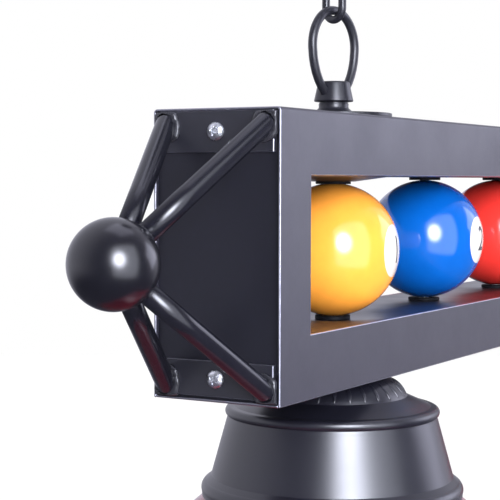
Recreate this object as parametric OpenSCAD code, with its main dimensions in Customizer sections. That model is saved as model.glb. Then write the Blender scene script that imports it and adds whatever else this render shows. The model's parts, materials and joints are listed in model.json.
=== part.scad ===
// Hanging pool table lamp: a sheet-metal box beam that shows a row of pool balls through long windows,
// three wide shades below it, ball finials on its ends, and two chains that carry it from the ceiling.
// The origin is on the ceiling, midway between the two ceiling plates. +X runs along the beam,
// the number discs of the balls face -Y, and +Z is up.

/* [Balls] */
// Diameter of each ball
ball_d = 57.15; // [56:0.05:57.5]
// Distance from one ball's axis to the next
ball_pitch = 100; // [90:1:120]
// Distance from the end of the beam to the first ball's axis
end_margin = 98; // [90:1:120]

/* [Beam] */
// Width of the beam, front to back
beam_w = 55; // [54:0.5:60]
// Height of the beam
beam_h = 110; // [110:1:116]
// Height of the beam's side above and below the window
rail_h = 25; // [23:0.5:25]
// Width of the beam's side between its end and the window
stile_w = 24.5; // [15:0.5:30]
// Thickness of the sheet metal
sheet_t = 1; // [0.8:0.1:1.2]

/* [Finials] */
// Diameter of the ball on each end
finial_d = 31.75; // [28:0.25:36]
// Distance from the end of the beam to the middle of the finial ball
finial_out = 66; // [55:1:80]
// Diameter of the four rods that carry it
rod_d = 8; // [5:0.5:9]

/* [Shades] */
// Radius of the shade's open rim
rim_r = 160; // [150:1:190]
// Depth of the shade's rim below the beam
rim_drop = 158; // [155:1:190]
// Greatest radius of the cap above the shade
cap_r = 56.5; // [54:0.5:60]

/* [Chains] */
// Diameter of the wire of the hanging loops
loop_wire = 3.8; // [3:0.1:4]
// Diameter of the wire of the chain links
link_wire = 3.4; // [2.5:0.1:3.4]
// Inside length of a link
link_in_l = 22; // [20:0.5:30]
// Inside width of a link
link_in_w = 6.6; // [6:0.2:9]

/* [Hidden] */
$fn = 96;

// the row of balls
BALLS = 15;
HANGING = [0, 7, 14];
beam_l = (BALLS - 1) * ball_pitch + 2 * end_margin;
function ball_x(i) = end_margin + i * ball_pitch;
function is_hanging(i) = len(search(i, HANGING)) > 0;

// heights inside the beam, from its lower edge
web_low = rail_h - 0.2;
web_high = beam_h - rail_h - 0.3;
washer_t = (web_high - web_low - ball_d) / 2;
ball_z = web_low + washer_t + ball_d / 2;
inner_w = beam_w - 2 * sheet_t;
bend_r = 1.5;

// the sheet dips where a threaded pipe clamps a ball between the webs
pipe_hole = 5.1;
clamp_drop = 1.3;
dimple_high = 2.1;
dimple_r = 24;
dimple_flat = 9;
washer_r = 7.6;
bore_rise = ball_d / 2 - sqrt(ball_d * ball_d / 4 - pipe_hole * pipe_hole);
low_washer_t = washer_t + bore_rise;
high_washer_t = washer_t + bore_rise + clamp_drop - dimple_high;

// threaded pipes and bolts
pipe_r = 5;
pipe_bore = 4;
wire_hole_z = web_high + 12;
bolt_r = 2.5;
bolt_hole = 2.6;
bolt_head_h = 3;
nut_h = 4;
pipe_nut_h = 5;
pipe_nut_af = 17;

// end straps, plates and screws
strap_x = 0.3;
strap_t = 1.5;
strap_w = 49;
strap_low = [2, 15.5];
strap_high = [beam_h - 16.5, beam_h - sheet_t];
plate_x = strap_x + strap_t;
flange_l = 12;
screw_r = 1.6;
screw_head_r = 3.45;
rod_foot_y = 21.8;
rod_foot_in = 5.2;

// hanging loops: heights from the seat of the collar
loop_washer_r = 25;
loop_washer_t = 1.7;
loop_r = 15.4;
loop_z = 28.4;
loop_foot = [6, 9];
loop_turn = -9;
collar_bore_l = 10;

// chains
LINKS = 5;
LINK_TURNS = [70, -15, 80, -6, 90];
wire_gap = 0.3;
link_l = link_in_l + link_wire;
link_w = link_in_w + link_wire;
first_step = (loop_wire + link_wire) / 2 + wire_gap;
link_step = link_l - link_wire - wire_gap;
loop_top = beam_h + loop_washer_t + loop_z + loop_r;
chain_top = loop_top - 2 * first_step + (LINKS - 1) * link_step + link_l;

// ceiling plates
plate_depth = 14.5;
plate_rim_r = 43;
plate_boss_r = 20;
plate_screw_y = 37;
plate_screw_r = 2.25;
plate_wall = 2;
ceiling_z = chain_top + loop_z + loop_r + plate_depth;

// lamp holders: heights from the beam's lower edge
cap_t = 1;
cap_low = -52.2;
shade_t = 1;
shade_bulge = 5;
shoulder_r = 3.5;
seat_z = -46;
holder_top = -18;
holder_low = -66;
holder_r = 19;
holder_bore = 13.5;
holder_deep = 30;
pipe_low = -27;
shade_hole = 19.4;
bulb_base_r = 13.1;
bulb_r = 30;
bulb_t = 1.2;
bulb_hole = 1.5;

// wiring
wire_r = 1.6;
wire_y = 14;
block_x = ball_x(7) - ball_pitch / 2;
block_l = 24;
bushing_r = 6;

BLACK = [0.10, 0.10, 0.12];
DARK = [0.05, 0.05, 0.06];
ZINC = [0.80, 0.81, 0.83];
BALL_COLOURS = [[0.98, 0.74, 0.10], [0.02, 0.28, 0.78], [0.85, 0.06, 0.10], [0.34, 0.12, 0.50],
    [0.98, 0.42, 0.06], [0.02, 0.42, 0.20], [0.46, 0.06, 0.10], [0.04, 0.04, 0.04]];

// ---------- helpers ----------

// Places children given in the beam's own coordinates: x from its left end, z from its lower edge.
module in_beam() translate([-beam_l / 2, 0, -ceiling_z]) children();

// Mirrors children given at the left end over to the right end.
module at_right_end() translate([beam_l, 0, 0]) mirror([1, 0, 0]) children();

function arc(cx, cy, r, a0, a1, n) =
    [for (i = [0:n]) let (a = a0 + (a1 - a0) * i / n) [cx + r * cos(a), cy + r * sin(a)]];

function unit(v) = v / norm(v);
function path_normal(p, i) =
    let (a = p[max(i - 1, 0)], b = p[min(i + 1, len(p) - 1)], d = unit(b - a)) [d[1], -d[0]];

// A spun sheet of thickness t: the outer path, and the same path moved t along its normals.
function shell(p, t) = concat(p, [for (i = [len(p) - 1:-1:0]) p[i] + t * path_normal(p, i)]);

module hex_nut(across, h, hole) difference() {
    cylinder(d = across / cos(30), h = h, $fn = 6);
    translate([0, 0, -1]) cylinder(r = hole, h = h + 2);
}

module ring_plate(outer, inner, h) difference() {
    cylinder(r = outer, h = h);
    translate([0, 0, -1]) cylinder(r = inner, h = h + 2);
}

// A rectangle with its two upper corners rounded.
module arch(w, h, r) {
    translate([-w / 2, 0]) square([w, h - r]);
    translate([-w / 2 + r, 0]) square([w - 2 * r, h]);
    for (s = [-1, 1]) translate([s * (w / 2 - r), h - r]) circle(r);
}

// A U channel along X, open upwards: web underside at z, flanges up to z + up.
module channel(x0, x1, w, z, up) translate([x0, -w / 2, z]) difference() {
    cube([x1 - x0, w, up]);
    translate([-1, sheet_t, sheet_t]) cube([x1 - x0 + 2, w - 2 * sheet_t, up]);
}

module bar_between(a, b, r) {
    v = b - a;
    translate(a) rotate([0, acos(v[2] / norm(v)), atan2(v[1], v[0])]) cylinder(r = r, h = norm(v), $fn = 32);
}

// ---------- beam ----------

module housing() color(BLACK) in_beam() difference() {
    rotate([90, 0, 90]) linear_extrude(beam_l) difference() {
        arch(beam_w, beam_h, bend_r);
        translate([0, -sheet_t]) arch(inner_w, beam_h, bend_r - sheet_t);
    }
    translate([stile_w, -beam_w, rail_h]) cube([beam_l - 2 * stile_w, 2 * beam_w, beam_h - 2 * rail_h]);
    for (i = HANGING) translate([ball_x(i), 0, beam_h - 5]) cylinder(r = pipe_hole, h = 10);
    translate([block_x, 0, beam_h - 5]) cylinder(r = bushing_r, h = 10);
}

module bottom_cover() color(BLACK) in_beam() difference() {
    channel(0, beam_l, inner_w, 0, 12);
    for (i = HANGING) translate([ball_x(i), 0, -1]) cylinder(r = pipe_hole, h = 4);
    for (x = [0, beam_l]) translate([x - 3, -beam_w, sheet_t]) cube([6, 2 * beam_w, 12]);
}

// Web of a ball rail: flat, with a dish at each threaded pipe and a small hole at each bolt.
module ball_web(z, drop) {
    difference() {
        translate([flange_l + 3, -inner_w / 2, z]) cube([beam_l - 2 * flange_l - 6, inner_w, sheet_t]);
        for (i = [0:BALLS - 1]) translate([ball_x(i), 0, z - 1])
            cylinder(r = is_hanging(i) ? dimple_r : bolt_hole, h = sheet_t + 2);
    }
    dish = [[pipe_hole, z - drop], [dimple_flat, z - drop], [dimple_r, z],
        [dimple_r, z + sheet_t], [dimple_flat, z + sheet_t - drop], [pipe_hole, z + sheet_t - drop]];
    for (i = HANGING) translate([ball_x(i), 0, 0]) rotate_extrude() polygon(dish);
}

module rail_flanges(z, h) for (s = [-1, 1])
    translate([flange_l + 3, s * (inner_w - sheet_t) / 2 - sheet_t / 2, z])
        cube([beam_l - 2 * flange_l - 6, sheet_t, h]);

module upper_ball_rail() color(BLACK) in_beam() {
    ball_web(web_high, dimple_high);
    rail_flanges(web_high, 12);
}

module lower_ball_rail() color(BLACK) in_beam() {
    ball_web(web_low - sheet_t, clamp_drop);
    rail_flanges(web_low - 11, 11);
}

module end_plate() difference() {
    union() {
        translate([plate_x, -inner_w / 2, sheet_t])
            cube([sheet_t, inner_w, beam_h - 2 * sheet_t]);
        for (z = [sheet_t, beam_h - 2 * sheet_t]) translate([plate_x, -20, z]) cube([flange_l, 40, sheet_t]);
    }
    strap_screws() translate([0, 0, -5]) cylinder(r = screw_r, h = 20);
}

module left_end_plate() color(DARK) in_beam() end_plate();
module right_end_plate() color(DARK) in_beam() at_right_end() end_plate();

// ---------- finials ----------

// Puts children on the axis of each strap screw, with +Z into the beam and z = 0 on the strap's face.
module strap_screws() for (s = [strap_low, strap_high])
    translate([strap_x, 0, (s[0] + s[1]) / 2]) rotate([0, 90, 0]) children();

module finial_ball() translate([-finial_out, 0, beam_h / 2]) sphere(d = finial_d, $fn = 128);

module finial_rods() {
    middle = [-finial_out, 0, beam_h / 2];
    difference() {
        for (side = [-1, 1], z = [rod_foot_in, beam_h - rod_foot_in]) {
            foot = [strap_x, side * rod_foot_y, z];
            bar_between(middle, foot + 8 * unit(foot - middle), rod_d / 2);
        }
        translate(middle) sphere(d = finial_d, $fn = 128);
        translate([strap_x, -beam_w, -beam_h]) cube([20, 2 * beam_w, 3 * beam_h]);
    }
}

module finial_straps() difference() {
    for (s = [strap_low, strap_high])
        translate([strap_x, -strap_w / 2, s[0]]) cube([strap_t, strap_w, s[1] - s[0]]);
    strap_screws() translate([0, 0, -1]) cylinder(r = screw_r, h = strap_t + 2);
}

// Pan head with a cross recess, and a plain shank.
module end_screw() {
    head_h = 2.3;
    difference() {
        union() {
            intersection() {
                translate([0, 0, -head_h]) cylinder(r = screw_head_r, h = head_h);
                translate([0, 0, 2.4]) sphere(r = 4.7);
            }
            cylinder(r = screw_r, h = 9);
        }
        for (a = [0, 90]) rotate(a + 20) translate([-1.8, -0.4, -head_h - 0.1]) cube([3.6, 0.8, 1.3]);
    }
}

module left_finial_ball() color(BLACK) in_beam() finial_ball();
module right_finial_ball() color(BLACK) in_beam() at_right_end() finial_ball();
module left_finial_rods() color(BLACK) in_beam() finial_rods();
module right_finial_rods() color(BLACK) in_beam() at_right_end() finial_rods();
module left_finial_straps() color(BLACK) in_beam() finial_straps();
module right_finial_straps() color(BLACK) in_beam() at_right_end() finial_straps();

module end_screws() color(ZINC) in_beam() {
    strap_screws() end_screw();
    at_right_end() strap_screws() end_screw();
}

// ---------- loops, chains and ceiling fittings ----------

// Loop on a turned collar; z = 0 is the collar's seat, and the pipe screws into the seat.
module hang_loop() {
    collar = concat([[0, 0], [9.4, 0], [8.2, 0.7], [6.5, 2.2]], arc(5.3, 3.7, 1.1, -50, 60, 6),
        [[5.9, 5.1], [7.7, 5.6]], arc(7.6, 6.2, 0.5, -60, 0, 3), arc(-0.4, 6.2, 8.5, 8, 46, 6),
        arc(4.9, 13.9, 0.7, 30, 90, 4), [[0, 14.6]]);
    top = [for (s = [-1, 1]) loop_r * [s * cos(30), -sin(30)] + [0, loop_z]];
    difference() {
        union() {
            rotate_extrude() polygon(collar);
            translate([0, 0, loop_z]) rotate([90, 0, 0]) rotate([0, 0, -30])
                rotate_extrude(angle = 240) translate([loop_r, 0]) circle(d = loop_wire, $fn = 32);
            for (i = [0, 1]) bar_between([top[i][0], 0, top[i][1]],
                [(2 * i - 1) * loop_foot[0], 0, loop_foot[1]], loop_wire / 2);
        }
        translate([0, 0, -1]) cylinder(r = pipe_r + 0.05, h = collar_bore_l + 1);
    }
}

module lamp_loop(x) color(BLACK) in_beam()
    translate([x, 0, beam_h + loop_washer_t]) rotate(loop_turn) hang_loop();
module left_hang_loop() lamp_loop(ball_x(0));
module right_hang_loop() lamp_loop(ball_x(BALLS - 1));

module loop_washers() color(BLACK) in_beam()
    for (i = HANGING) translate([ball_x(i), 0, beam_h]) ring_plate(loop_washer_r, pipe_hole, loop_washer_t);

// Welded oval link in the XZ plane, with z = 0 at the middle line of its lower bend.
module link() {
    r = link_w / 2;
    for (s = [-1, 1]) translate([s * r, 0, r]) cylinder(d = link_wire, h = link_l - 2 * r, $fn = 32);
    translate([0, 0, r]) rotate([90, 0, 0]) rotate([0, 0, 180]) half_ring(r);
    translate([0, 0, link_l - r]) rotate([90, 0, 0]) half_ring(r);
}

module half_ring(r) rotate_extrude(angle = 180) translate([r, 0]) circle(d = link_wire, $fn = 32);

// Links number a to b of the chain above the beam position x.
module links(x, a, b) color(BLACK) in_beam() for (k = [a:b])
    translate([x, 0, loop_top - first_step + k * link_step]) rotate(LINK_TURNS[k]) link();

module left_low_link() links(ball_x(0), 0, 0);
module right_low_link() links(ball_x(BALLS - 1), 0, 0);
module left_chain() links(ball_x(0), 1, LINKS - 2);
module right_chain() links(ball_x(BALLS - 1), 1, LINKS - 2);
module top_links() for (i = [0, BALLS - 1]) links(ball_x(i), LINKS - 1, LINKS - 1);

// Puts children on the ceiling above each chain, with z = 0 on the ceiling.
module at_ceiling() for (i = [0, BALLS - 1]) translate([ball_x(i) - beam_l / 2, 0, 0]) children();

module ceiling_plates() color(BLACK) at_ceiling() difference() {
    profile = [[pipe_hole, -plate_depth], [plate_boss_r, -plate_depth], [31, -plate_wall],
        [plate_rim_r - 0.8, -plate_wall], [plate_rim_r, -plate_wall + 0.8], [plate_rim_r, 0],
        [29.8, 0], [plate_boss_r - 1.2, plate_wall - plate_depth], [pipe_hole, plate_wall - plate_depth]];
    rotate_extrude() polygon(profile);
    for (s = [-1, 1]) translate([0, s * plate_screw_y, -5]) cylinder(r = plate_screw_r, h = 10);
}

module ceiling_loops() color(BLACK) at_ceiling() translate([0, 0, -plate_depth]) rotate([180, 0, 0]) hang_loop();

module ceiling_nipples() color(ZINC) at_ceiling() {
    seat = plate_wall - plate_depth;
    difference() {
        translate([0, 0, -plate_depth - 9]) cylinder(r = pipe_r, h = 9 + plate_wall + pipe_nut_h + 3);
        translate([0, 0, -50]) cylinder(r = pipe_bore, h = 100);
    }
    translate([0, 0, seat]) hex_nut(pipe_nut_af, pipe_nut_h, pipe_r);
}

// ---------- pipes, bolts and balls ----------

module threaded_pipes() color(ZINC) in_beam() for (i = HANGING) translate([ball_x(i), 0, 0]) difference() {
    top = beam_h + loop_washer_t + (i == 7 ? pipe_nut_h + 2 : collar_bore_l - 1);
    translate([0, 0, pipe_low]) cylinder(r = pipe_r, h = top - pipe_low);
    translate([0, 0, pipe_low - 1]) cylinder(r = pipe_bore, h = top - pipe_low + 2);
    translate([0, 0, wire_hole_z]) rotate([-90, 0, 0]) cylinder(r = wire_r + 0.6, h = 10, $fn = 32);
}

module pipe_nuts() color(ZINC) in_beam() {
    for (i = HANGING) translate([ball_x(i), 0, -cap_t - pipe_nut_h]) hex_nut(pipe_nut_af, pipe_nut_h, pipe_r);
    translate([ball_x(7), 0, beam_h + loop_washer_t]) hex_nut(pipe_nut_af, pipe_nut_h, pipe_r);
}

// Puts children on the axis of each ball that turns on a bolt.
module at_bolts() for (i = [0:BALLS - 1]) if (!is_hanging(i)) translate([ball_x(i), 0, 0]) children();

module ball_bolts() color(ZINC) in_beam() at_bolts() {
    translate([0, 0, web_low - sheet_t - bolt_head_h]) cylinder(d = 9, h = bolt_head_h);
    translate([0, 0, web_low - sheet_t]) cylinder(r = bolt_r, h = web_high - web_low + 2 * sheet_t + nut_h + 1.5);
}

module ball_nuts() color(ZINC) in_beam() at_bolts()
    translate([0, 0, web_high + sheet_t]) hex_nut(8, nut_h, bolt_r);

module ball_washers() color(DARK) in_beam() {
    at_bolts() for (z = [web_low, web_high - washer_t])
        translate([0, 0, z]) ring_plate(washer_r, bolt_hole, washer_t);
    for (i = HANGING) translate([ball_x(i), 0, 0]) {
        translate([0, 0, web_low - clamp_drop]) ring_plate(washer_r, pipe_hole, low_washer_t);
        translate([0, 0, web_high - dimple_high - high_washer_t]) ring_plate(washer_r, pipe_hole, high_washer_t);
    }
}

// Ball number i, counted from 0, bored from top to bottom.
module ball(i) color(BALL_COLOURS[i % 8]) in_beam()
    translate([ball_x(i), 0, ball_z - (is_hanging(i) ? clamp_drop : 0)]) difference() {
        sphere(d = ball_d, $fn = 128);
        translate([0, 0, -ball_d]) cylinder(r = is_hanging(i) ? pipe_hole : bolt_hole, h = 2 * ball_d);
    }

// ---------- shades and lamp holders ----------

// Puts children on the axis of the shade under ball i, with z = 0 at the beam's lower edge.
module under_ball(i) in_beam() translate([ball_x(i), 0, 0]) children();

module cap() {
    step_r = cap_r - 4.3;
    path = concat([[pipe_hole, 0]], arc(17.4, -16.93, 16.93, 90, 28, 14),
        [[38.7, -11.8], [42.4, -13.5]], arc(cap_r - 12.5, -15.9, 2.2, 80, -60, 10),
        [[cap_r - 11.2, -18.6], [cap_r - 10.9, -19.6]],
        [[step_r, -43.6]], arc(cap_r - 3.9, -49, 3.9, 62, -20, 8), [[cap_r - 0.4, cap_low]]);
    rotate_extrude($fn = 128) polygon(shell(path, cap_t));
}

// A flat seat with a rounded shoulder inside the cap, then a slightly bulging cone and a rolled rim.
module shade() {
    cone_top = [cap_r - 1.6, cap_low - 0.2];
    cone = [rim_r - 1, -rim_drop] - cone_top;
    path = concat([[shade_hole, seat_z]],
        arc(cap_r - 9, seat_z - shoulder_r, shoulder_r, 90, 10, 6),
        [for (k = [0:14]) cone_top + cone * k / 14 + [0, shade_bulge * sin(180 * k / 14)]]);
    rotate_extrude($fn = 160) polygon(shell(path, shade_t));
    translate([0, 0, -rim_drop - 0.6]) rotate_extrude($fn = 160) translate([rim_r - 1.6, 0]) circle(r = 1.6, $fn = 24);
}

module socket() difference() {
    union() {
        translate([0, 0, holder_low]) cylinder(r = holder_r, h = seat_z - holder_low);
        translate([0, 0, seat_z]) cylinder(r = holder_r + 4, h = 2.5);
        translate([0, 0, seat_z]) cylinder(r = holder_r, h = holder_top - seat_z - 6);
        translate([0, 0, holder_top - 6]) cylinder(r1 = holder_r, r2 = holder_r - 9, h = 6);
    }
    translate([0, 0, pipe_low]) cylinder(r = pipe_r + 0.05, h = 20);
    translate([0, 0, holder_low - 1]) cylinder(r = holder_bore, h = holder_deep + 1);
}

module socket_rings() color(DARK) for (i = HANGING) under_ball(i)
    translate([0, 0, seat_z - shade_t - 5]) ring_plate(holder_r + 5, holder_r + 0.05, 5);

// Screw base with its contact, neck and round glass, hollow, with a small hole in the contact.
module bulb() {
    base_top = holder_low + holder_deep - 1;
    neck_z = holder_low - 1;
    globe_z = neck_z - 52;
    path = concat([[bulb_hole, base_top], [4.5, base_top], [4.5, base_top - 2], [bulb_base_r - 2, base_top - 4],
        [bulb_base_r, base_top - 6], [bulb_base_r, neck_z + 1], [14.2, neck_z - 1], [15.2, neck_z - 12],
        [20.4, neck_z - 25]], arc(0, globe_z, bulb_r, 35, -84, 22));
    inner_path = concat([[bulb_hole, base_top - 6], [bulb_base_r - bulb_t, base_top - 9],
        [bulb_base_r - bulb_t, neck_z - 12], [20.4 - bulb_t, neck_z - 26]],
        arc(0, globe_z, bulb_r - bulb_t, 35, -84, 22));
    rotate_extrude($fn = 96) polygon(concat(path, [[0, globe_z - bulb_r], [0, globe_z - bulb_r + bulb_t]],
        [for (i = [len(inner_path) - 1:-1:0]) inner_path[i]]));
}

module shade_at(i) color([0.42, 0.03, 0.06]) under_ball(i) shade();
module cap_at(i) color(BLACK) under_ball(i) cap();
module socket_at(i) color(DARK) under_ball(i) socket();
module bulb_at(i) color([0.95, 0.94, 0.90]) under_ball(i) bulb();

// ---------- wiring ----------

module cord_bushing() color(DARK) in_beam() translate([block_x, 0, beam_h]) difference() {
    union() {
        cylinder(r = 9, h = 2);
        translate([0, 0, -4]) cylinder(r = bushing_r, h = 4);
    }
    translate([0, 0, -6]) cylinder(r = 3.6, h = 12);
}

module terminal_block() color([0.92, 0.90, 0.84]) in_beam()
    translate([block_x - block_l / 2, wire_y - 6, web_high + sheet_t]) cube([block_l, 12, 13]);

// Wires run from the block along the upper rail, into each pipe and down to its socket.
module wire_harness() color([0.85, 0.83, 0.78]) in_beam() {
    z = wire_hole_z;
    left = block_x - block_l / 2;
    right = block_x + block_l / 2;
    bar_between([ball_x(0), wire_y, z], [left, wire_y, z], wire_r);
    bar_between([right, wire_y, z], [ball_x(BALLS - 1), wire_y, z], wire_r);
    for (i = HANGING) {
        translate([ball_x(i), wire_y, z]) sphere(r = wire_r, $fn = 32);
        bar_between([ball_x(i), 0, z], [ball_x(i), wire_y, z], wire_r);
        translate([ball_x(i), 0, z]) sphere(r = wire_r, $fn = 32);
        bar_between([ball_x(i), 0, pipe_low + 0.5], [ball_x(i), 0, z], wire_r);
    }
}

housing();
bottom_cover();
upper_ball_rail();
lower_ball_rail();
left_end_plate();
right_end_plate();
left_finial_ball();
right_finial_ball();
left_finial_rods();
right_finial_rods();
left_finial_straps();
right_finial_straps();
end_screws();
left_hang_loop();
right_hang_loop();
loop_washers();
threaded_pipes();
pipe_nuts();
ball_bolts();
ball_nuts();
ball_washers();
ball(0);  // ball_01
ball(1);  // ball_02
ball(2);  // ball_03
ball(3);  // ball_04
ball(4);  // ball_05
ball(5);  // ball_06
ball(6);  // ball_07
ball(7);  // ball_08
ball(8);  // ball_09
ball(9);  // ball_10
ball(10);  // ball_11
ball(11);  // ball_12
ball(12);  // ball_13
ball(13);  // ball_14
ball(14);  // ball_15
shade_at(0);  // left_shade
shade_at(7);  // centre_shade
shade_at(14);  // right_shade
cap_at(0);  // left_cap
cap_at(7);  // centre_cap
cap_at(14);  // right_cap
socket_at(0);  // left_socket
socket_at(7);  // centre_socket
socket_at(14);  // right_socket
socket_rings();
bulb_at(0);  // left_bulb
bulb_at(7);  // centre_bulb
bulb_at(14);  // right_bulb
top_links();
left_chain();
right_chain();
left_low_link();
right_low_link();
ceiling_plates();
ceiling_loops();
ceiling_nipples();
cord_bushing();
terminal_block();
wire_harness();
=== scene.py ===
"""Looks for the pool table lamp: studio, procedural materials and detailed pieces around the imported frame."""
import json
import math

import bmesh
import bpy
from mathutils import Matrix, Vector


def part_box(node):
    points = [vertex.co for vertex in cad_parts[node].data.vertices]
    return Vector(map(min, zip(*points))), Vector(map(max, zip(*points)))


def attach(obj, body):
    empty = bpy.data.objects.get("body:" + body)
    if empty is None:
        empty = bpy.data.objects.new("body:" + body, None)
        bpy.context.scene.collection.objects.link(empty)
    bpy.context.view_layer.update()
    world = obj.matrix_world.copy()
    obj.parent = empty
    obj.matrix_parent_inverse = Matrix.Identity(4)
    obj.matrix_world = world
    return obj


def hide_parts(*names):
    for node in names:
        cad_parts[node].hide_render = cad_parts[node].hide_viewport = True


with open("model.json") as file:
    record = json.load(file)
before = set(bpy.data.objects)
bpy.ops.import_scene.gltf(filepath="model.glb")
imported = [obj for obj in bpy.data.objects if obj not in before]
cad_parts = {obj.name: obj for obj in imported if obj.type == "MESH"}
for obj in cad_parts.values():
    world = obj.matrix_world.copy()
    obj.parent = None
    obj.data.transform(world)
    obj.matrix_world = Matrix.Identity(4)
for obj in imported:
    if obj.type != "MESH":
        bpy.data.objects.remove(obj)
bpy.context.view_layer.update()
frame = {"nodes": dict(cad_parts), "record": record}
nodes = frame["nodes"]
MM = 0.001

# ---------- where things are, from the frame and in mm from the beam's left end ----------

BEAM_LO, BEAM_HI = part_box("housing")
BEAM_H = 110
LAMP_X = {"left": 98, "centre": 798, "right": 1498}
HUNG = ("left", "right")                # the sides that a chain holds
WASHER_H = 1.7                          # the hanging loops stand on it
ROD_R = 4.0
STRAP_X = 0.3                           # outer face of the finial straps
STRAP_Y, STRAP_Z = 26.2, (1.4, 108.6)   # how far the weld metal may spread on them
ROD_FEET = [(y, z) for y in (-21.8, 21.8) for z in (5.2, 104.8)]
LINK_WIRE, LINK_PITCH, LINK_HALF = 3.4, 21.7, 5.0   # its wire, its spacing, half its width to the wire's middle
FIRST_LINK_Z = 164.3                    # middle of the lowest link
DISC_R = 11.2 * MM


def centre_of(node):
    lo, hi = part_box(node)
    return (lo + hi) / 2


BALLS = [f"ball_{i:02d}" for i in range(1, 16)]
BALL_R = (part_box("ball_02")[1].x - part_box("ball_02")[0].x) / 2


def beam(x, y, z):
    """A point given in mm from the beam's left end, middle plane and lower edge."""
    return Vector((BEAM_LO.x + x * MM, y * MM, BEAM_HI.z + (z - BEAM_H) * MM))


# ---------- studio ----------

scene = bpy.context.scene


def link(obj):
    scene.collection.objects.link(obj)
    return obj


def make_camera():
    """The photo's own view of the near end."""
    cam = link(bpy.data.objects.new("camera", bpy.data.cameras.new("camera")))
    yaw, pitch, roll = (math.radians(a) for a in (29.67, -2.74, -0.13))
    look = Vector((math.cos(pitch) * math.cos(yaw), math.cos(pitch) * math.sin(yaw), math.sin(pitch)))
    cam.data.sensor_width, cam.data.lens = 36, 106.3
    cam.data.clip_start, cam.data.clip_end = 0.05, 200
    turn = look.to_track_quat("-Z", "Y").to_matrix() @ Matrix.Rotation(-roll, 3, "Z")
    cam.matrix_world = Matrix.Translation((-1.2686, -0.2829, -0.2347)) @ turn.to_4x4()
    scene.camera = cam


def area_light(name, place, target, size, power, colour):
    """A square panel of that width at place, turned to target."""
    data = bpy.data.lights.new(name, "AREA")
    data.shape, data.size, data.size_y = "RECTANGLE", size, size
    data.energy, data.color = power, colour
    lamp = link(bpy.data.objects.new(name, data))
    place, target = Vector(place), Vector(target)
    turn = (target - place).to_track_quat("-Z", "Z").to_matrix().to_4x4()
    lamp.matrix_world = Matrix.Translation(place) @ turn
    return lamp


def softbox(name, place, target, size, core, core_at, strength, colour):
    """A big glowing panel, unseen by the camera, that fades at its edges and is brightest round core_at.

    core and core_at are fractions of the panel's size; strength is (over the panel, at the core).
    """
    bpy.ops.mesh.primitive_plane_add(size=1)
    box = bpy.context.object
    box.name = name
    place, target = Vector(place), Vector(target)
    turn = (target - place).to_track_quat("Z", "Y").to_matrix().to_4x4()
    box.matrix_world = Matrix.Translation(place) @ turn @ Matrix.Diagonal((size[0], size[1], 1, 1))
    mat = bpy.data.materials.new(name)
    mat.use_nodes = True
    tree = mat.node_tree
    tree.nodes.clear()
    new, wire = tree.nodes.new, tree.links.new
    coord, away, split = new("ShaderNodeTexCoord"), new("ShaderNodeVectorMath"), new("ShaderNodeSeparateXYZ")
    glow, out = new("ShaderNodeEmission"), new("ShaderNodeOutputMaterial")
    away.operation = "DISTANCE"
    away.inputs[1].default_value = (core_at[0], core_at[1], 0)
    glow.inputs["Color"].default_value = (*colour, 1)
    wire(coord.outputs["Object"], away.inputs[0])
    wire(coord.outputs["Object"], split.inputs[0])

    def fade(value, start, end, low, high):
        ramp = new("ShaderNodeMapRange")
        ramp.interpolation_type = "SMOOTHERSTEP"
        for key, v in (("From Min", start), ("From Max", end), ("To Min", low), ("To Max", high)):
            ramp.inputs[key].default_value = v
        wire(value, ramp.inputs["Value"])
        return ramp.outputs[0]

    def maths(kind, a, b=None):
        node = new("ShaderNodeMath")
        node.operation = kind
        wire(a, node.inputs[0])
        if b:
            wire(b, node.inputs[1])
        return node.outputs[0]

    feather = maths("MULTIPLY", *(fade(maths("ABSOLUTE", split.outputs[k]), 0.5, 0.30, 0, 1) for k in "XY"))
    level = fade(away.outputs["Value"], core, 0, strength[0], strength[1])
    wire(maths("MULTIPLY", level, feather), glow.inputs["Strength"])
    wire(glow.outputs[0], out.inputs[0])
    box.data.materials.append(mat)
    box.visible_camera = box.visible_shadow = False


def make_world():
    """White behind the lamp; gloss sees a room that is bright past the far end and dark behind the camera."""
    world = bpy.data.worlds.new("studio")
    scene.world = world
    world.use_nodes = True
    tree = world.node_tree
    tree.nodes.clear()
    new, wire = tree.nodes.new, tree.links.new
    plain, room, out = new("ShaderNodeBackground"), new("ShaderNodeBackground"), new("ShaderNodeOutputWorld")
    plain.inputs[0].default_value = (1, 1, 1, 1)
    mix, path, coord = new("ShaderNodeMixShader"), new("ShaderNodeLightPath"), new("ShaderNodeTexCoord")
    bright = []
    for towards, dark, light in (((0.55, 0.84, 0), -0.70, 0.60), ((0, 0, 1), -0.50, -0.05)):
        along, ramp = new("ShaderNodeVectorMath"), new("ShaderNodeMapRange")
        along.operation = "DOT_PRODUCT"
        along.inputs[1].default_value = towards
        ramp.interpolation_type = "SMOOTHSTEP"
        ramp.inputs["From Min"].default_value, ramp.inputs["From Max"].default_value = dark, light
        wire(coord.outputs["Generated"], along.inputs[0])
        wire(along.outputs["Value"], ramp.inputs["Value"])
        bright.append(ramp.outputs[0])
    both, tint = new("ShaderNodeMath"), new("ShaderNodeMix")
    both.operation, tint.data_type = "MULTIPLY", "RGBA"
    wire(bright[0], both.inputs[0])
    wire(bright[1], both.inputs[1])
    wire(both.outputs[0], tint.inputs["Factor"])
    tint.inputs[6].default_value, tint.inputs[7].default_value = (0.10, 0.10, 0.14, 1), (0.85, 0.85, 1.0, 1)
    wire(tint.outputs[2], room.inputs[0])
    wire(path.outputs["Is Glossy Ray"], mix.inputs[0])
    wire(plain.outputs[0], mix.inputs[1])
    wire(room.outputs[0], mix.inputs[2])
    wire(mix.outputs[0], out.inputs[0])


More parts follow.
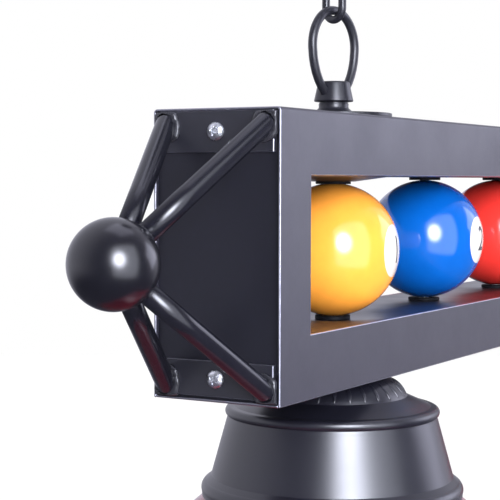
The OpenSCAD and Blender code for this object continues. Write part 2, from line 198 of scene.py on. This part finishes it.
def make_studio():
    make_world()
    near_end = Vector((BEAM_LO.x, 0, (BEAM_LO.z + BEAM_HI.z) / 2))
    lavender = (0.80, 0.81, 1.0)
    key_place, fill_place = near_end + Vector((-0.69, -1.36, 0.27)), near_end + Vector((-1.1, -1.2, -0.55))
    softbox("key_box", key_place, near_end, (2.5, 3.0), 0.26, (0.181, 0.050), (2.6, 40), (0.84, 0.87, 1.0))
    area_light("side_wall", (1.35, -1.55, 0.30), near_end, 1.5, 20, lavender)
    fill = area_light("low_fill", fill_place, near_end, 1.6, 34, (1, 0.98, 0.96))
    fill.visible_glossy = False
    area_light("top_fill", (-0.4, -0.1, 1.5), (-0.5, 0, -0.25), 1.2, 5, lavender)
    # a wide pale floor, far enough down for a view from below
    bpy.ops.mesh.primitive_circle_add(vertices=96, radius=60, fill_type="NGON", location=(0, 0, -7.5))
    floor = bpy.context.object
    floor.name = "floor"
    floor.data.materials.append(floor_material())
    floor.visible_glossy = False
    scene.view_settings.view_transform = "Standard"
    scene.view_settings.look = "None"


# ---------- materials ----------


class Shader:
    """A Principled material with a few short helpers for wiring procedural detail."""

    def __init__(self, name):
        self.mat = bpy.data.materials.new(name)
        self.mat.use_nodes = True
        self.tree = self.mat.node_tree
        self.bsdf = self.tree.nodes["Principled BSDF"]
        self.coord = self.new("ShaderNodeTexCoord").outputs["Object"]

    def new(self, kind):
        return self.tree.nodes.new(kind)

    def link(self, a, b):
        self.tree.links.new(a, b)

    def set(self, **values):
        for key, value in values.items():
            self.bsdf.inputs[key.replace("_", " ")].default_value = value
        return self

    def noise(self, scale, detail=3.0, stretch=None, rough=0.55):
        n = self.new("ShaderNodeTexNoise")
        n.inputs["Scale"].default_value, n.inputs["Detail"].default_value = scale, detail
        n.inputs["Roughness"].default_value = rough
        if stretch:
            m = self.new("ShaderNodeMapping")
            m.inputs["Scale"].default_value = stretch
            self.link(self.coord, m.inputs[0])
            self.link(m.outputs[0], n.inputs["Vector"])
        else:
            self.link(self.coord, n.inputs["Vector"])
        return n.outputs["Fac"]

    def ramp(self, fac, stops):
        r = self.new("ShaderNodeValToRGB")
        r.color_ramp.elements[0].position, r.color_ramp.elements[0].color = stops[0][0], (*stops[0][1], 1)
        r.color_ramp.elements[1].position, r.color_ramp.elements[1].color = stops[-1][0], (*stops[-1][1], 1)
        for place, colour in stops[1:-1]:
            r.color_ramp.elements.new(place).color = (*colour, 1)
        self.link(fac, r.inputs[0])
        return r.outputs[0]

    def range(self, value, low, high, from_low=0.3, from_high=0.7):
        """Maps from_low..from_high to low..high, held at both ends."""
        m = self.new("ShaderNodeMapRange")
        for key, v in (("From Min", from_low), ("From Max", from_high), ("To Min", low), ("To Max", high)):
            m.inputs[key].default_value = v
        self.link(value, m.inputs["Value"])
        return m.outputs[0]

    def math(self, kind, *sockets):
        m = self.new("ShaderNodeMath")
        m.operation = kind
        for i, socket in enumerate(sockets):
            self.link(socket, m.inputs[i])
        return m.outputs[0]

    def mix(self, fac, a, b):
        m = self.new("ShaderNodeMix")
        m.data_type = "RGBA"
        self.link(fac, m.inputs["Factor"])
        self.link(a, m.inputs[6])
        self.link(b, m.inputs[7])
        return m.outputs[2]

    def bump(self, height, strength, distance):
        b = self.new("ShaderNodeBump")
        b.inputs["Strength"].default_value, b.inputs["Distance"].default_value = strength, distance
        self.link(height, b.inputs["Height"])
        if self.bsdf.inputs["Normal"].is_linked:
            self.link(self.bsdf.inputs["Normal"].links[0].from_socket, b.inputs["Normal"])
        self.link(b.outputs[0], self.bsdf.inputs["Normal"])

    def colour(self, socket):
        self.link(socket, self.bsdf.inputs["Base Color"])

    def rough(self, socket):
        self.link(socket, self.bsdf.inputs["Roughness"])


def floor_material():
    s = Shader("pale_floor").set(Roughness=0.8)
    s.colour(s.ramp(s.noise(1.2), [(0.3, (0.93, 0.93, 0.93)), (0.7, (0.96, 0.96, 0.96))]))
    s.set(Emission_Color=(1, 1, 1, 1), Emission_Strength=0.12)
    return s.mat


def paint(name, colour, low, high, grain=0.00002, metallic=0.0, coat=0.0, ior=1.5):
    """Sprayed paint: fine orange peel, slightly uneven gloss, a trace of dust in the colour."""
    s = Shader(name).set(Metallic=metallic, Coat_Weight=coat, Coat_Roughness=0.2, IOR=ior)
    dust = s.noise(260, 6, rough=0.7)
    darker = tuple(c * 0.82 for c in colour)
    lighter = tuple(min(1, c * 1.12 + 0.004) for c in colour)
    s.colour(s.ramp(dust, [(0.35, darker), (0.62, colour), (0.80, lighter)]))
    s.rough(s.range(s.noise(38, 4), low, high))
    s.bump(s.noise(1400, 2), 0.5, grain)
    s.bump(s.noise(5200, 1), 0.35, grain * 0.5)
    return s.mat


def metal(name, dark, light, pitch=None):
    """Bright plated metal, brushed and slightly blotchy, with thread lines round it if a pitch is given."""
    s = Shader(name).set(Metallic=1.0)
    s.colour(s.ramp(s.noise(420, 5), [(0.3, dark), (0.7, light)]))
    s.rough(s.range(s.noise(900, 4), 0.20, 0.42))
    s.bump(s.noise(2600, 3, stretch=(1, 1, 8)), 0.3, 0.00002)
    if pitch:
        wave = s.new("ShaderNodeTexWave")
        wave.bands_direction = "Z"
        wave.inputs["Scale"].default_value = math.tau / (20 * pitch)
        s.link(s.coord, wave.inputs["Vector"])
        s.bump(wave.outputs["Fac"], 0.9, pitch * 0.4)
    return s.mat


def plastic(name, colour, low=0.35, high=0.5, gloss=0.5):
    """Moulded plastic or rubber: slightly mottled, with a fine grain."""
    s = Shader(name).set(IOR=1.47, Specular_IOR_Level=gloss)
    s.colour(s.ramp(s.noise(320, 4), [(0.3, tuple(c * 0.9 for c in colour)), (0.7, colour)]))
    s.rough(s.range(s.noise(150, 3), low, high))
    s.bump(s.noise(3000, 2), 0.3, 0.00002)
    return s.mat


def twist(i):
    """How far ball i has been left turned about its own axis, from facing straight across the beam."""
    return math.radians(6 + 2 * math.cos(1.9 * i))


def ball_material(name, colour, centre, striped, turn):
    """Polished resin with a white number disc facing each way across the beam, and a band if striped."""
    s = Shader(name).set(IOR=1.56, Coat_Weight=0.25, Coat_Roughness=0.08, Specular_IOR_Level=0.5)
    at = s.new("ShaderNodeVectorMath")
    at.operation = "SUBTRACT"
    at.inputs[1].default_value = centre
    s.link(s.coord, at.inputs[0])
    back = s.new("ShaderNodeVectorRotate")
    back.rotation_type = "Z_AXIS"
    back.inputs["Angle"].default_value = -turn
    s.link(at.outputs[0], back.inputs["Vector"])
    split = s.new("ShaderNodeSeparateXYZ")
    s.link(back.outputs[0], split.inputs[0])
    x, y, z = split.outputs
    from_axis = s.math("SQRT", s.math("ADD", s.math("MULTIPLY", x, x), s.math("MULTIPLY", z, z)))
    blot = s.noise(180, 4)
    shade = s.ramp(blot, [(0.3, tuple(c * 0.93 for c in colour)), (0.7, colour)])
    ivory = s.ramp(blot, [(0.3, (0.47, 0.44, 0.39)), (0.7, (0.52, 0.49, 0.44))])
    soft, band = 0.12 * MM, BALL_R * 0.44
    if striped:
        in_band = s.range(s.math("ABSOLUTE", z), 1, 0, band - soft, band + soft)
        shade = s.mix(in_band, ivory, shade)
    in_disc = s.range(from_axis, 1, 0, DISC_R - soft, DISC_R + soft)
    s.colour(s.mix(in_disc, shade, ivory))
    s.rough(s.range(s.noise(60, 3), 0.09, 0.14))
    s.bump(s.noise(800, 2), 0.12, 0.00001)
    return s.mat


# linear colours of the plain balls 1 to 8; the striped balls 9 to 15 repeat the first seven
BALL_COLOURS = [(0.76, 0.290, 0.036), (0.001, 0.075, 0.33), (0.62, 0.030, 0.022), (0.10, 0.018, 0.20),
                (0.80, 0.13, 0.008), (0.003, 0.13, 0.042), (0.19, 0.006, 0.014), (0.006, 0.006, 0.007)]

M = {}


def make_materials():
    M["beam"] = paint("satin_black_coat", (0.020, 0.019, 0.028), 0.34, 0.42)
    # bright metal on the rounded edges of the black sheet and straps: a painted highlight along every sharp
    # edge
    M["edge"] = paint("bright_edge", (0.42, 0.42, 0.48), 0.28, 0.38, 0.000008, metallic=1.0)
    M["rail"] = paint("gloss_black_web", (0.010, 0.010, 0.014), 0.28, 0.36, 0.00001)
    M["plate"] = paint("dark_end_plate", (0.004, 0.004, 0.008), 0.36, 0.46)
    M["strap"] = paint("strap_black", (0.012, 0.012, 0.017), 0.30, 0.40)
    M["finial"] = paint("finial_black", (0.003, 0.003, 0.005), 0.21, 0.27, 0.000012, ior=1.65)
    M["rod"] = paint("rod_black", (0.005, 0.005, 0.008), 0.18, 0.26, 0.000012)
    M["chain"] = paint("chain_black", (0.010, 0.010, 0.014), 0.28, 0.38)
    M["cap"] = paint("cap_black", (0.005, 0.005, 0.009), 0.31, 0.37, 0.000012, ior=1.7)
    M["weld"] = paint("weld_black", (0.016, 0.016, 0.020), 0.14, 0.24, 0.00008)
    M["zinc"] = metal("bright_zinc", (0.70, 0.72, 0.76), (0.97, 0.98, 1.0))
    M["washer"] = plastic("black_rubber", (0.003, 0.003, 0.004), 0.5, 0.65, 0.12)
    M["brass"] = metal("contact_brass", (0.62, 0.44, 0.16), (0.80, 0.60, 0.26))
    M["thread"] = metal("zinc_thread", (0.50, 0.52, 0.56), (0.80, 0.82, 0.86), pitch=1.0 * MM)
    M["red"] = paint("shade_red_enamel", (0.20, 0.005, 0.016), 0.16, 0.22, 0.000012, coat=0.2)
    M["white"] = paint("shade_white_inside", (0.86, 0.86, 0.84), 0.35, 0.5, 0.000012)
    M["socket"] = plastic("black_phenolic", (0.014, 0.014, 0.015), 0.25, 0.4)
    M["block"] = plastic("cream_nylon", (0.80, 0.77, 0.66))
    M["wire"] = plastic("cream_insulation", (0.72, 0.69, 0.60), 0.4, 0.55)
    M["dark_ink"] = plastic("number_ink", (0.03, 0.03, 0.034), 0.12, 0.2)
    glass = Shader("frosted_glass").set(IOR=1.5, Coat_Weight=0.5, Subsurface_Weight=0.3)
    glass.colour(glass.ramp(glass.noise(60, 3), [(0.3, (0.90, 0.89, 0.85)), (0.7, (0.96, 0.95, 0.92))]))
    glass.rough(glass.range(glass.noise(300, 3), 0.18, 0.3))
    glass.bump(glass.noise(4000, 2), 0.2, 0.00002)
    M["glass"] = glass.mat


# ---------- pieces ----------


def finish_mesh(bm, name, mat):
    bmesh.ops.recalc_face_normals(bm, faces=bm.faces)
    mesh = bpy.data.meshes.new(name)
    bm.to_mesh(mesh)
    bm.free()
    mesh.materials.append(mat)
    for p in mesh.polygons:
        p.use_smooth = True
    return link(bpy.data.objects.new(name, mesh))


def place(piece, body, slot, *replaced):
    """Puts the piece on its body, and in place of the CAD nodes named, if any; slot is not used."""
    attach(piece, body)
    if replaced:
        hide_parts(*replaced)
    return piece


def body_of_node(node):
    return next(b for b, members in frame["record"]["behaviour"]["bodies"].items() if node in members)


def slot_of_node(node):
    return next(s["material_slot"] for s in frame["record"]["subparts"] if s["node"] == node)


def refine(node, mat, width, edge=None):
    """The CAD node's mesh, flat faces merged and sharp edges rounded; the last argument, if given, colours the
    rounded edges bright as a painted highlight.
    """
    piece = link(bpy.data.objects.new(node + "_rounded", nodes[node].data.copy()))
    bm = bmesh.new()
    bm.from_mesh(piece.data)
    bmesh.ops.remove_doubles(bm, verts=bm.verts, dist=1e-6)
    bmesh.ops.dissolve_limit(bm, angle_limit=math.radians(0.3), verts=bm.verts, edges=bm.edges)
    bm.to_mesh(piece.data)
    bm.free()
    piece.data.materials.clear()
    for m in (mat, edge):
        if m:
            piece.data.materials.append(m)
    if piece.data.has_custom_normals:
        with bpy.context.temp_override(object=piece, active_object=piece, selected_objects=[piece]):
            bpy.ops.mesh.customdata_custom_splitnormals_clear()
    for p in piece.data.polygons:
        p.use_smooth = True
    bevel = piece.modifiers.new("rounding", "BEVEL")
    bevel.width, bevel.segments = width, 3
    bevel.limit_method, bevel.angle_limit = "ANGLE", math.radians(50)
    bevel.use_clamp_overlap = False
    bevel.harden_normals = True
    # the rounded edges take the painted-highlight material, when one is given
    bevel.material = 1 if edge else -1
    return place(piece, body_of_node(node), slot_of_node(node), node)


def repaint(node, mat):
    """Keeps the CAD node's mesh and gives it mat."""
    nodes[node].data.materials.clear()
    nodes[node].data.materials.append(mat)


def turned(bm, profile, at, along=(0, 0, 1), segments=48, wobble=None):
    """Adds (radius, height) points in mm turned about an axis; wobble(angle, k) changes point k's radius."""
    turn = Vector(along).to_track_quat("Z", "Y").to_matrix()
    rings = []
    for k, (r, h) in enumerate(profile):
        angles = [math.tau * i / segments for i in range(segments if r > 0 else 1)]
        rings.append([])
        for a in angles:
            reach = r + (wobble(a, k) if wobble and r else 0)
            point = Vector((reach * math.cos(a), reach * math.sin(a), h)) * MM
            rings[-1].append(bm.verts.new(at + turn @ point))
    join_rings(bm, rings)


def join_rings(bm, rings, closed=True):
    """Faces between each ring of points and the next; a ring may be a single point."""
    for low, high in zip(rings, rings[1:]):
        count = max(len(low), len(high))
        for i in range(count if closed else count - 1):
            corners = [low[i % len(low)], low[(i + 1) % len(low)],
                       high[(i + 1) % len(high)], high[i % len(high)]]
            bm.faces.new(list(dict.fromkeys(corners)))


def quarter(cx, cy, r, a0, a1, n):
    """Points of an arc round (cx, cy) from a0 to a1 degrees, in n steps."""
    steps = [math.radians(a0 + (a1 - a0) * i / n) for i in range(n + 1)]
    return [(cx + r * math.cos(a), cy + r * math.sin(a)) for a in steps]


BAR_SINK, BAR_ROUND, BAR_FROM = 1.2, 2.6, 13.6   # into the strap, rounding of the end, start inside the ball


def finial_details(side):
    """Round bars with softened ends, and the weld metal round them at the ball and on the straps."""
    sign = 1 if side == "left" else -1
    ball = centre_of(side + "_finial_ball")
    lo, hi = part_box(side + "_finial_ball")
    ball_r = (hi.z - lo.z) / 2 / MM
    bars, weld = bmesh.new(), bmesh.new()
    for n, (y, z) in enumerate(ROD_FEET):
        foot = beam(STRAP_X, y, z)
        foot.x *= sign
        way = (foot - ball).normalized()
        length = (foot - ball).length / MM + BAR_SINK
        end = quarter(ROD_R - BAR_ROUND, length - BAR_ROUND, BAR_ROUND, 0, 90, 8)
        turned(bars, [(0, BAR_FROM), (ROD_R, BAR_FROM), (ROD_R, 40)] + end + [(0, length)], ball, way, 40)
        meet = math.sqrt(ball_r ** 2 - ROD_R ** 2)
        bead = [(ROD_R + r, meet + h) for r, h in quarter(0.05, 0.0, 0.85, -100, 130, 8)]

        def ripple(a, k):
            return 0.12 * math.sin(9 * a + n) + 0.10 * math.sin(23 * a + 2 * n) + 0.08 * math.sin(4 * a + k)

        turned(weld, bead, ball, way, 96, ripple)
        weld_skirt(weld, foot, way, n)
    rods, welds = finish_mesh(bars, side + "_finial_bars", M["rod"]), side + "_finial_welds"
    body = body_of_node(side + "_finial_rods")
    place(rods, body, "finial_black", side + "_finial_rods")
    place(finish_mesh(weld, welds, M["weld"]), body, "finial_black")


def weld_skirt(bm, foot, way, n):
    """A lumpy fillet from a bar down to the strap, held within the strap's edges; n varies its lumps."""
    turn = way.to_track_quat("Z", "Y").to_matrix()
    low, high = beam(0, -STRAP_Y, STRAP_Z[0]), beam(0, STRAP_Y, STRAP_Z[1])
    rows, steps = 6, 72
    rings = []
    for k in range(rows + 1):
        u = math.pi / 2 * k / rows
        ring = []
        for i in range(steps):
            a = math.tau * i / steps
            lump = 0.30 * math.sin(3 * a + n) + 0.10 * math.sin(9 * a + 2 * n) + 0.04 * math.sin(21 * a)
            reach = ROD_R + (2.0 + lump) * math.sin(u) - 0.05
            out = turn @ Vector((reach * math.cos(a), reach * math.sin(a), 0)) * MM
            down = -out.x / way.x - (2.4 + lump) * math.cos(u) * MM
            point = foot + out + way * down
            point.y = max(low.y, min(high.y, point.y))
            point.z = max(low.z, min(high.z, point.z))
            ring.append(bm.verts.new(point))
        rings.append(ring)
    join_rings(bm, rings)


def cap_ribs(side, x):
    """Short half-round ribs round the foot of the cap's dome, thinner at both ends."""
    line = quarter(17.4, -16.93, 17.0, 62, 30, 8)
    count, half_w, height, sunk, arc = 30, 0.95, 0.55, 0.12, 6
    bm = bmesh.new()
    for n in range(count):
        a = math.radians(360 / count * n + 4)
        out, across = Vector((math.cos(a), math.sin(a), 0)), Vector((-math.sin(a), math.cos(a), 0))
        normal = out * 0.62 + Vector((0, 0, 0.78))
        rings = []
        for k, (r, z) in enumerate(line):
            fade = math.sqrt(math.sin(math.pi * (k + 0.15) / (len(line) - 0.7)))
            middle = beam(x, 0, z) + out * r * MM
            ring = []
            for j in range(arc + 1):
                b = math.pi * j / arc
                side_step, lift = half_w * math.cos(b) * fade, height * math.sin(b) * fade - sunk
                ring.append(bm.verts.new(middle + (across * side_step + normal * lift) * MM))
            rings.append(ring)
        join_rings(bm, rings, closed=False)
        bm.faces.new(rings[0])
        bm.faces.new(rings[-1])
    piece = finish_mesh(bm, side + "_cap_ribs", M["cap"])
    return place(piece, body_of_node(side + "_cap"), "cap_black")


def ball_number(i, node):
    """The ball's number, lying on both number discs; 6 and 9 are underlined."""
    tall, narrow = (16.5, 0.92) if i < 9 else (13.0, 0.80)
    lift, grid, reach = 0.06 * MM, 0.7 * MM, 11
    text = bpy.data.curves.new("digits", "FONT")
    text.body, text.size, text.offset = str(i + 1), tall * MM, 0.12 * MM
    text.align_x, text.align_y = "CENTER", "CENTER"
    source = link(bpy.data.objects.new("digits", text))
    flat = bmesh.new()
    flat.from_mesh(bpy.data.meshes.new_from_object(source))
    bpy.data.objects.remove(source)
    if i + 1 in (6, 9):
        corners = [(-3.4, -8.4), (3.4, -8.4), (3.4, -7.3), (-3.4, -7.3)]
        flat.faces.new([flat.verts.new((a * MM, b * MM, 0)) for a, b in corners])
    for v in flat.verts:
        v.co.x *= narrow
    # cut along a fine grid, so that the flat digits can follow the ball
    for k in range(-reach, reach + 1):
        for way in ((1, 0, 0), (0, 1, 0)):
            geom = flat.verts[:] + flat.edges[:] + flat.faces[:]
            bmesh.ops.bisect_plane(flat, geom=geom, plane_co=Vector(way) * k * grid, plane_no=way)
    middle, bm = centre_of(node), bmesh.new()
    turn = Matrix.Rotation(twist(i), 3, "Z")
    for side in (-1, 1):
        for face in flat.faces:
            ring = []
            for v in face.verts:
                depth = math.sqrt(BALL_R ** 2 - v.co.x ** 2 - v.co.y ** 2) + lift
                ring.append(bm.verts.new(middle + turn @ Vector((-side * v.co.x, side * depth, v.co.y))))
            bm.faces.new(ring)
    bmesh.ops.remove_doubles(bm, verts=bm.verts, dist=1e-6)
    flat.free()
    return place(finish_mesh(bm, node + "_number", M["dark_ink"]), body_of_node(node), "ball_black")


def shade_two_tone(side, x):
    """The shade's own mesh in red outside and over its rim, and in white inside."""
    node, red_rim = side + "_shade", 3.2 * MM
    piece = link(bpy.data.objects.new(node + "_painted", nodes[node].data.copy()))
    piece.data.materials.clear()
    piece.data.materials.append(M["red"])
    piece.data.materials.append(M["white"])
    axis, rim = beam(x, 0, 0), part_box(node)
    rim_r = (rim[1].x - rim[0].x) / 2
    bm = bmesh.new()
    bm.from_mesh(piece.data)
    bmesh.ops.remove_doubles(bm, verts=bm.verts, dist=1e-6)
    bmesh.ops.recalc_face_normals(bm, faces=bm.faces)
    for face in bm.faces:
        out = face.calc_center_median() - axis
        out.z = 0
        inside = (out.normalized() + Vector((0, 0, 1))).dot(face.normal) < 0
        face.material_index = 1 if inside and out.length < rim_r - red_rim else 0
        face.smooth = True
    bm.to_mesh(piece.data)
    bm.free()
    return place(piece, body_of_node(node), "shade_red", node)


def bulb_details(side, x):
    """An opal globe on a threaded screw base with a black insulator and a brass contact."""
    at, body, node = beam(x, 0, 0), body_of_node(side + "_bulb"), side + "_bulb"
    glass = bmesh.new()
    neck = [(0, -63.5), (12.6, -63.5), (13.4, -66.0), (13.9, -69), (14.3, -73), (14.9, -78), (16.0, -83),
            (18.0, -88), (20.6, -92.6)]
    turned(glass, neck + quarter(0, -119, 30, 58, -88, 40)[1:] + [(0, -149)], at, segments=96)
    place(finish_mesh(glass, node + "_globe", M["glass"]), body, "bulb_glass", node)
    base, steps, rows, run_out = bmesh.new(), 72, 72, 6
    base_z, base_h, base_r, thread_depth, thread_pitch = -66.5, 20.5, 12.45, 0.55, 3.62
    rings = []
    for k in range(rows + 1):
        z = base_z + base_h * k / rows
        depth = thread_depth * min(1, k / run_out, (rows - k) / run_out)
        ring = []
        for i in range(steps):
            a = math.tau * i / steps
            r = base_r + depth * math.sin(math.tau * z / thread_pitch - a)
            ring.append(base.verts.new(at + Vector((r * math.cos(a), r * math.sin(a), z)) * MM))
        rings.append(ring)
    join_rings(base, rings)
    place(finish_mesh(base, node + "_screw_base", M["zinc"]), body, "zinc", node)
    top = bmesh.new()
    turned(top, [(12.4, -46), (11.6, -44.6), (9.4, -42.6), (6.6, -40.4), (5.0, -39.4)], at)
    place(finish_mesh(top, node + "_insulator", M["socket"]), body, "socket_black")
    tip = bmesh.new()
    turned(tip, [(5.0, -39.5), (4.6, -38.6), (3.0, -37.6), (0, -37.1)], at)
    place(finish_mesh(tip, node + "_contact", M["brass"]), body, "zinc")


def tube(bm, points, radius, segments=20):
    """A round wire of that radius in mm along points that lie in one plane."""
    middle = points[len(points) // 2]
    normal = (points[0] - middle).cross(points[-1] - middle).normalized()
    turns = [math.tau * i / segments for i in range(segments)]
    rings = []
    for k, point in enumerate(points):
        ahead = points[min(k + 1, len(points) - 1)] - points[max(k - 1, 0)]
        out = ahead.cross(normal).normalized()
        around = [out * math.cos(a) + normal * math.sin(a) for a in turns]
        rings.append([bm.verts.new(point + way * radius * MM) for way in around])
    join_rings(bm, rings)
    for ring in (rings[0], rings[-1]):
        bm.faces.new(ring)


def hang_loop(side):
    """A turned collar with a bent-wire loop whose legs curve in to it."""
    node, at, bm = side + "_hang_loop", beam(LAMP_X[side], 0, BEAM_H + WASHER_H), bmesh.new()
    collar = [(5.1, 0), (9.4, 0), (8.2, 0.7), (6.5, 2.2), (6.35, 2.9), (6.4, 3.7), (6.35, 4.2),
              (5.9, 4.7), (7.6, 5.0)]
    collar += quarter(7.9, 5.5, 0.5, -60, 20, 4) + quarter(5.9, 12.7, 0.9, 12, 90, 6) + [(0, 13.6)]
    turned(bm, collar, at, segments=64)
    side_leg = [(14.9, 23.4), (14.0, 20.0), (12.7, 16.8), (11.0, 13.9), (8.9, 11.2), (6.6, 8.8), (4.8, 7.2)]
    half = quarter(0, 28.4, 15.4, 90, -10, 20) + side_leg
    path = [(-x, z) for x, z in reversed(half[1:])] + half
    turn = math.radians(-9)
    along = Vector((math.cos(turn), math.sin(turn), 0))
    tube(bm, [at + (along * x + Vector((0, 0, z))) * MM for x, z in path], 1.9)
    return place(finish_mesh(bm, node + "_forged", M["chain"]), body_of_node(node), slot_of_node(node), node)


def chain_seams():
    """The small weld ring on one side of every link."""
    swell = [(-0.1, -1.0), (0.18, -0.6), (0.3, 0), (0.18, 0.6), (-0.1, 1.0)]
    for side in HUNG:
        chain = side + "_chain"
        links = [(side + "_low_link", 70), (chain, -15), (chain, 80), (chain, -6), ("top_links", 90)]
        for k, (node, turn) in enumerate(links):
            a = math.radians(turn)
            x, y = LAMP_X[side] - LINK_HALF * math.cos(a), -LINK_HALF * math.sin(a)
            at = beam(x, y, FIRST_LINK_Z + LINK_PITCH * k)
            bm = bmesh.new()
            turned(bm, [(LINK_WIRE / 2 + o, h) for o, h in swell], at, segments=32)
            place(finish_mesh(bm, f"{side}_link_{k + 1}_seam", M["chain"]), body_of_node(node), "chain_black")


def terminal_screws():
    """Three brass screw heads in a row on top of the terminal block."""
    lo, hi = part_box("terminal_block")
    bm = bmesh.new()
    for i in range(3):
        at = Vector((lo.x + (hi.x - lo.x) * (i + 0.5) / 3, (lo.y + hi.y) / 2, hi.z))
        turned(bm, [(0, -0.6), (0.9, -0.6), (1.0, 0.3), (1.9, 0.5), (2.2, 0.1), (2.2, -0.3)], at, segments=32)
    place(finish_mesh(bm, "terminal_screws", M["brass"]), body_of_node("terminal_block"), "zinc")


# ---------- the whole scene ----------

make_camera()
make_studio()
make_materials()

for n in ("housing", "bottom_cover"):
    refine(n, M["beam"], 0.45 * MM, M["edge"])
for n in ("upper_ball_rail", "lower_ball_rail"):
    refine(n, M["rail"], 0.3 * MM)
for side in HUNG:
    refine(side + "_end_plate", M["plate"], 0.3 * MM)
    refine(side + "_finial_straps", M["strap"], 0.35 * MM, M["edge"])
    repaint(side + "_finial_ball", M["finial"])
    finial_details(side)
refine("end_screws", M["zinc"], 0.12 * MM)
for n in ("threaded_pipes", "ceiling_nipples", "ball_bolts"):
    repaint(n, M["thread"])
for n in ("pipe_nuts", "ball_nuts"):
    refine(n, M["zinc"], 0.4 * MM)
for n in ("top_links", "left_chain", "right_chain", "left_low_link", "right_low_link", "ceiling_loops"):
    repaint(n, M["chain"])
for side in HUNG:
    hang_loop(side)
refine("loop_washers", M["chain"], 0.4 * MM)
refine("ceiling_plates", M["chain"], 0.5 * MM)
refine("ball_washers", M["washer"], 0.3 * MM)
for i, n in enumerate(BALLS):
    repaint(n, ball_material(f"resin_{i + 1:02d}", BALL_COLOURS[i % 8], centre_of(n), i > 7, twist(i)))
    ball_number(i, n)
for side, x in LAMP_X.items():
    shade_two_tone(side, x)
    repaint(side + "_cap", M["cap"])
    cap_ribs(side, x)
    refine(side + "_socket", M["socket"], 0.5 * MM)
    bulb_details(side, x)
chain_seams()
terminal_screws()
refine("socket_rings", M["socket"], 0.6 * MM)
refine("cord_bushing", M["socket"], 0.5 * MM)
refine("terminal_block", M["block"], 0.6 * MM)
repaint("wire_harness", M["wire"])
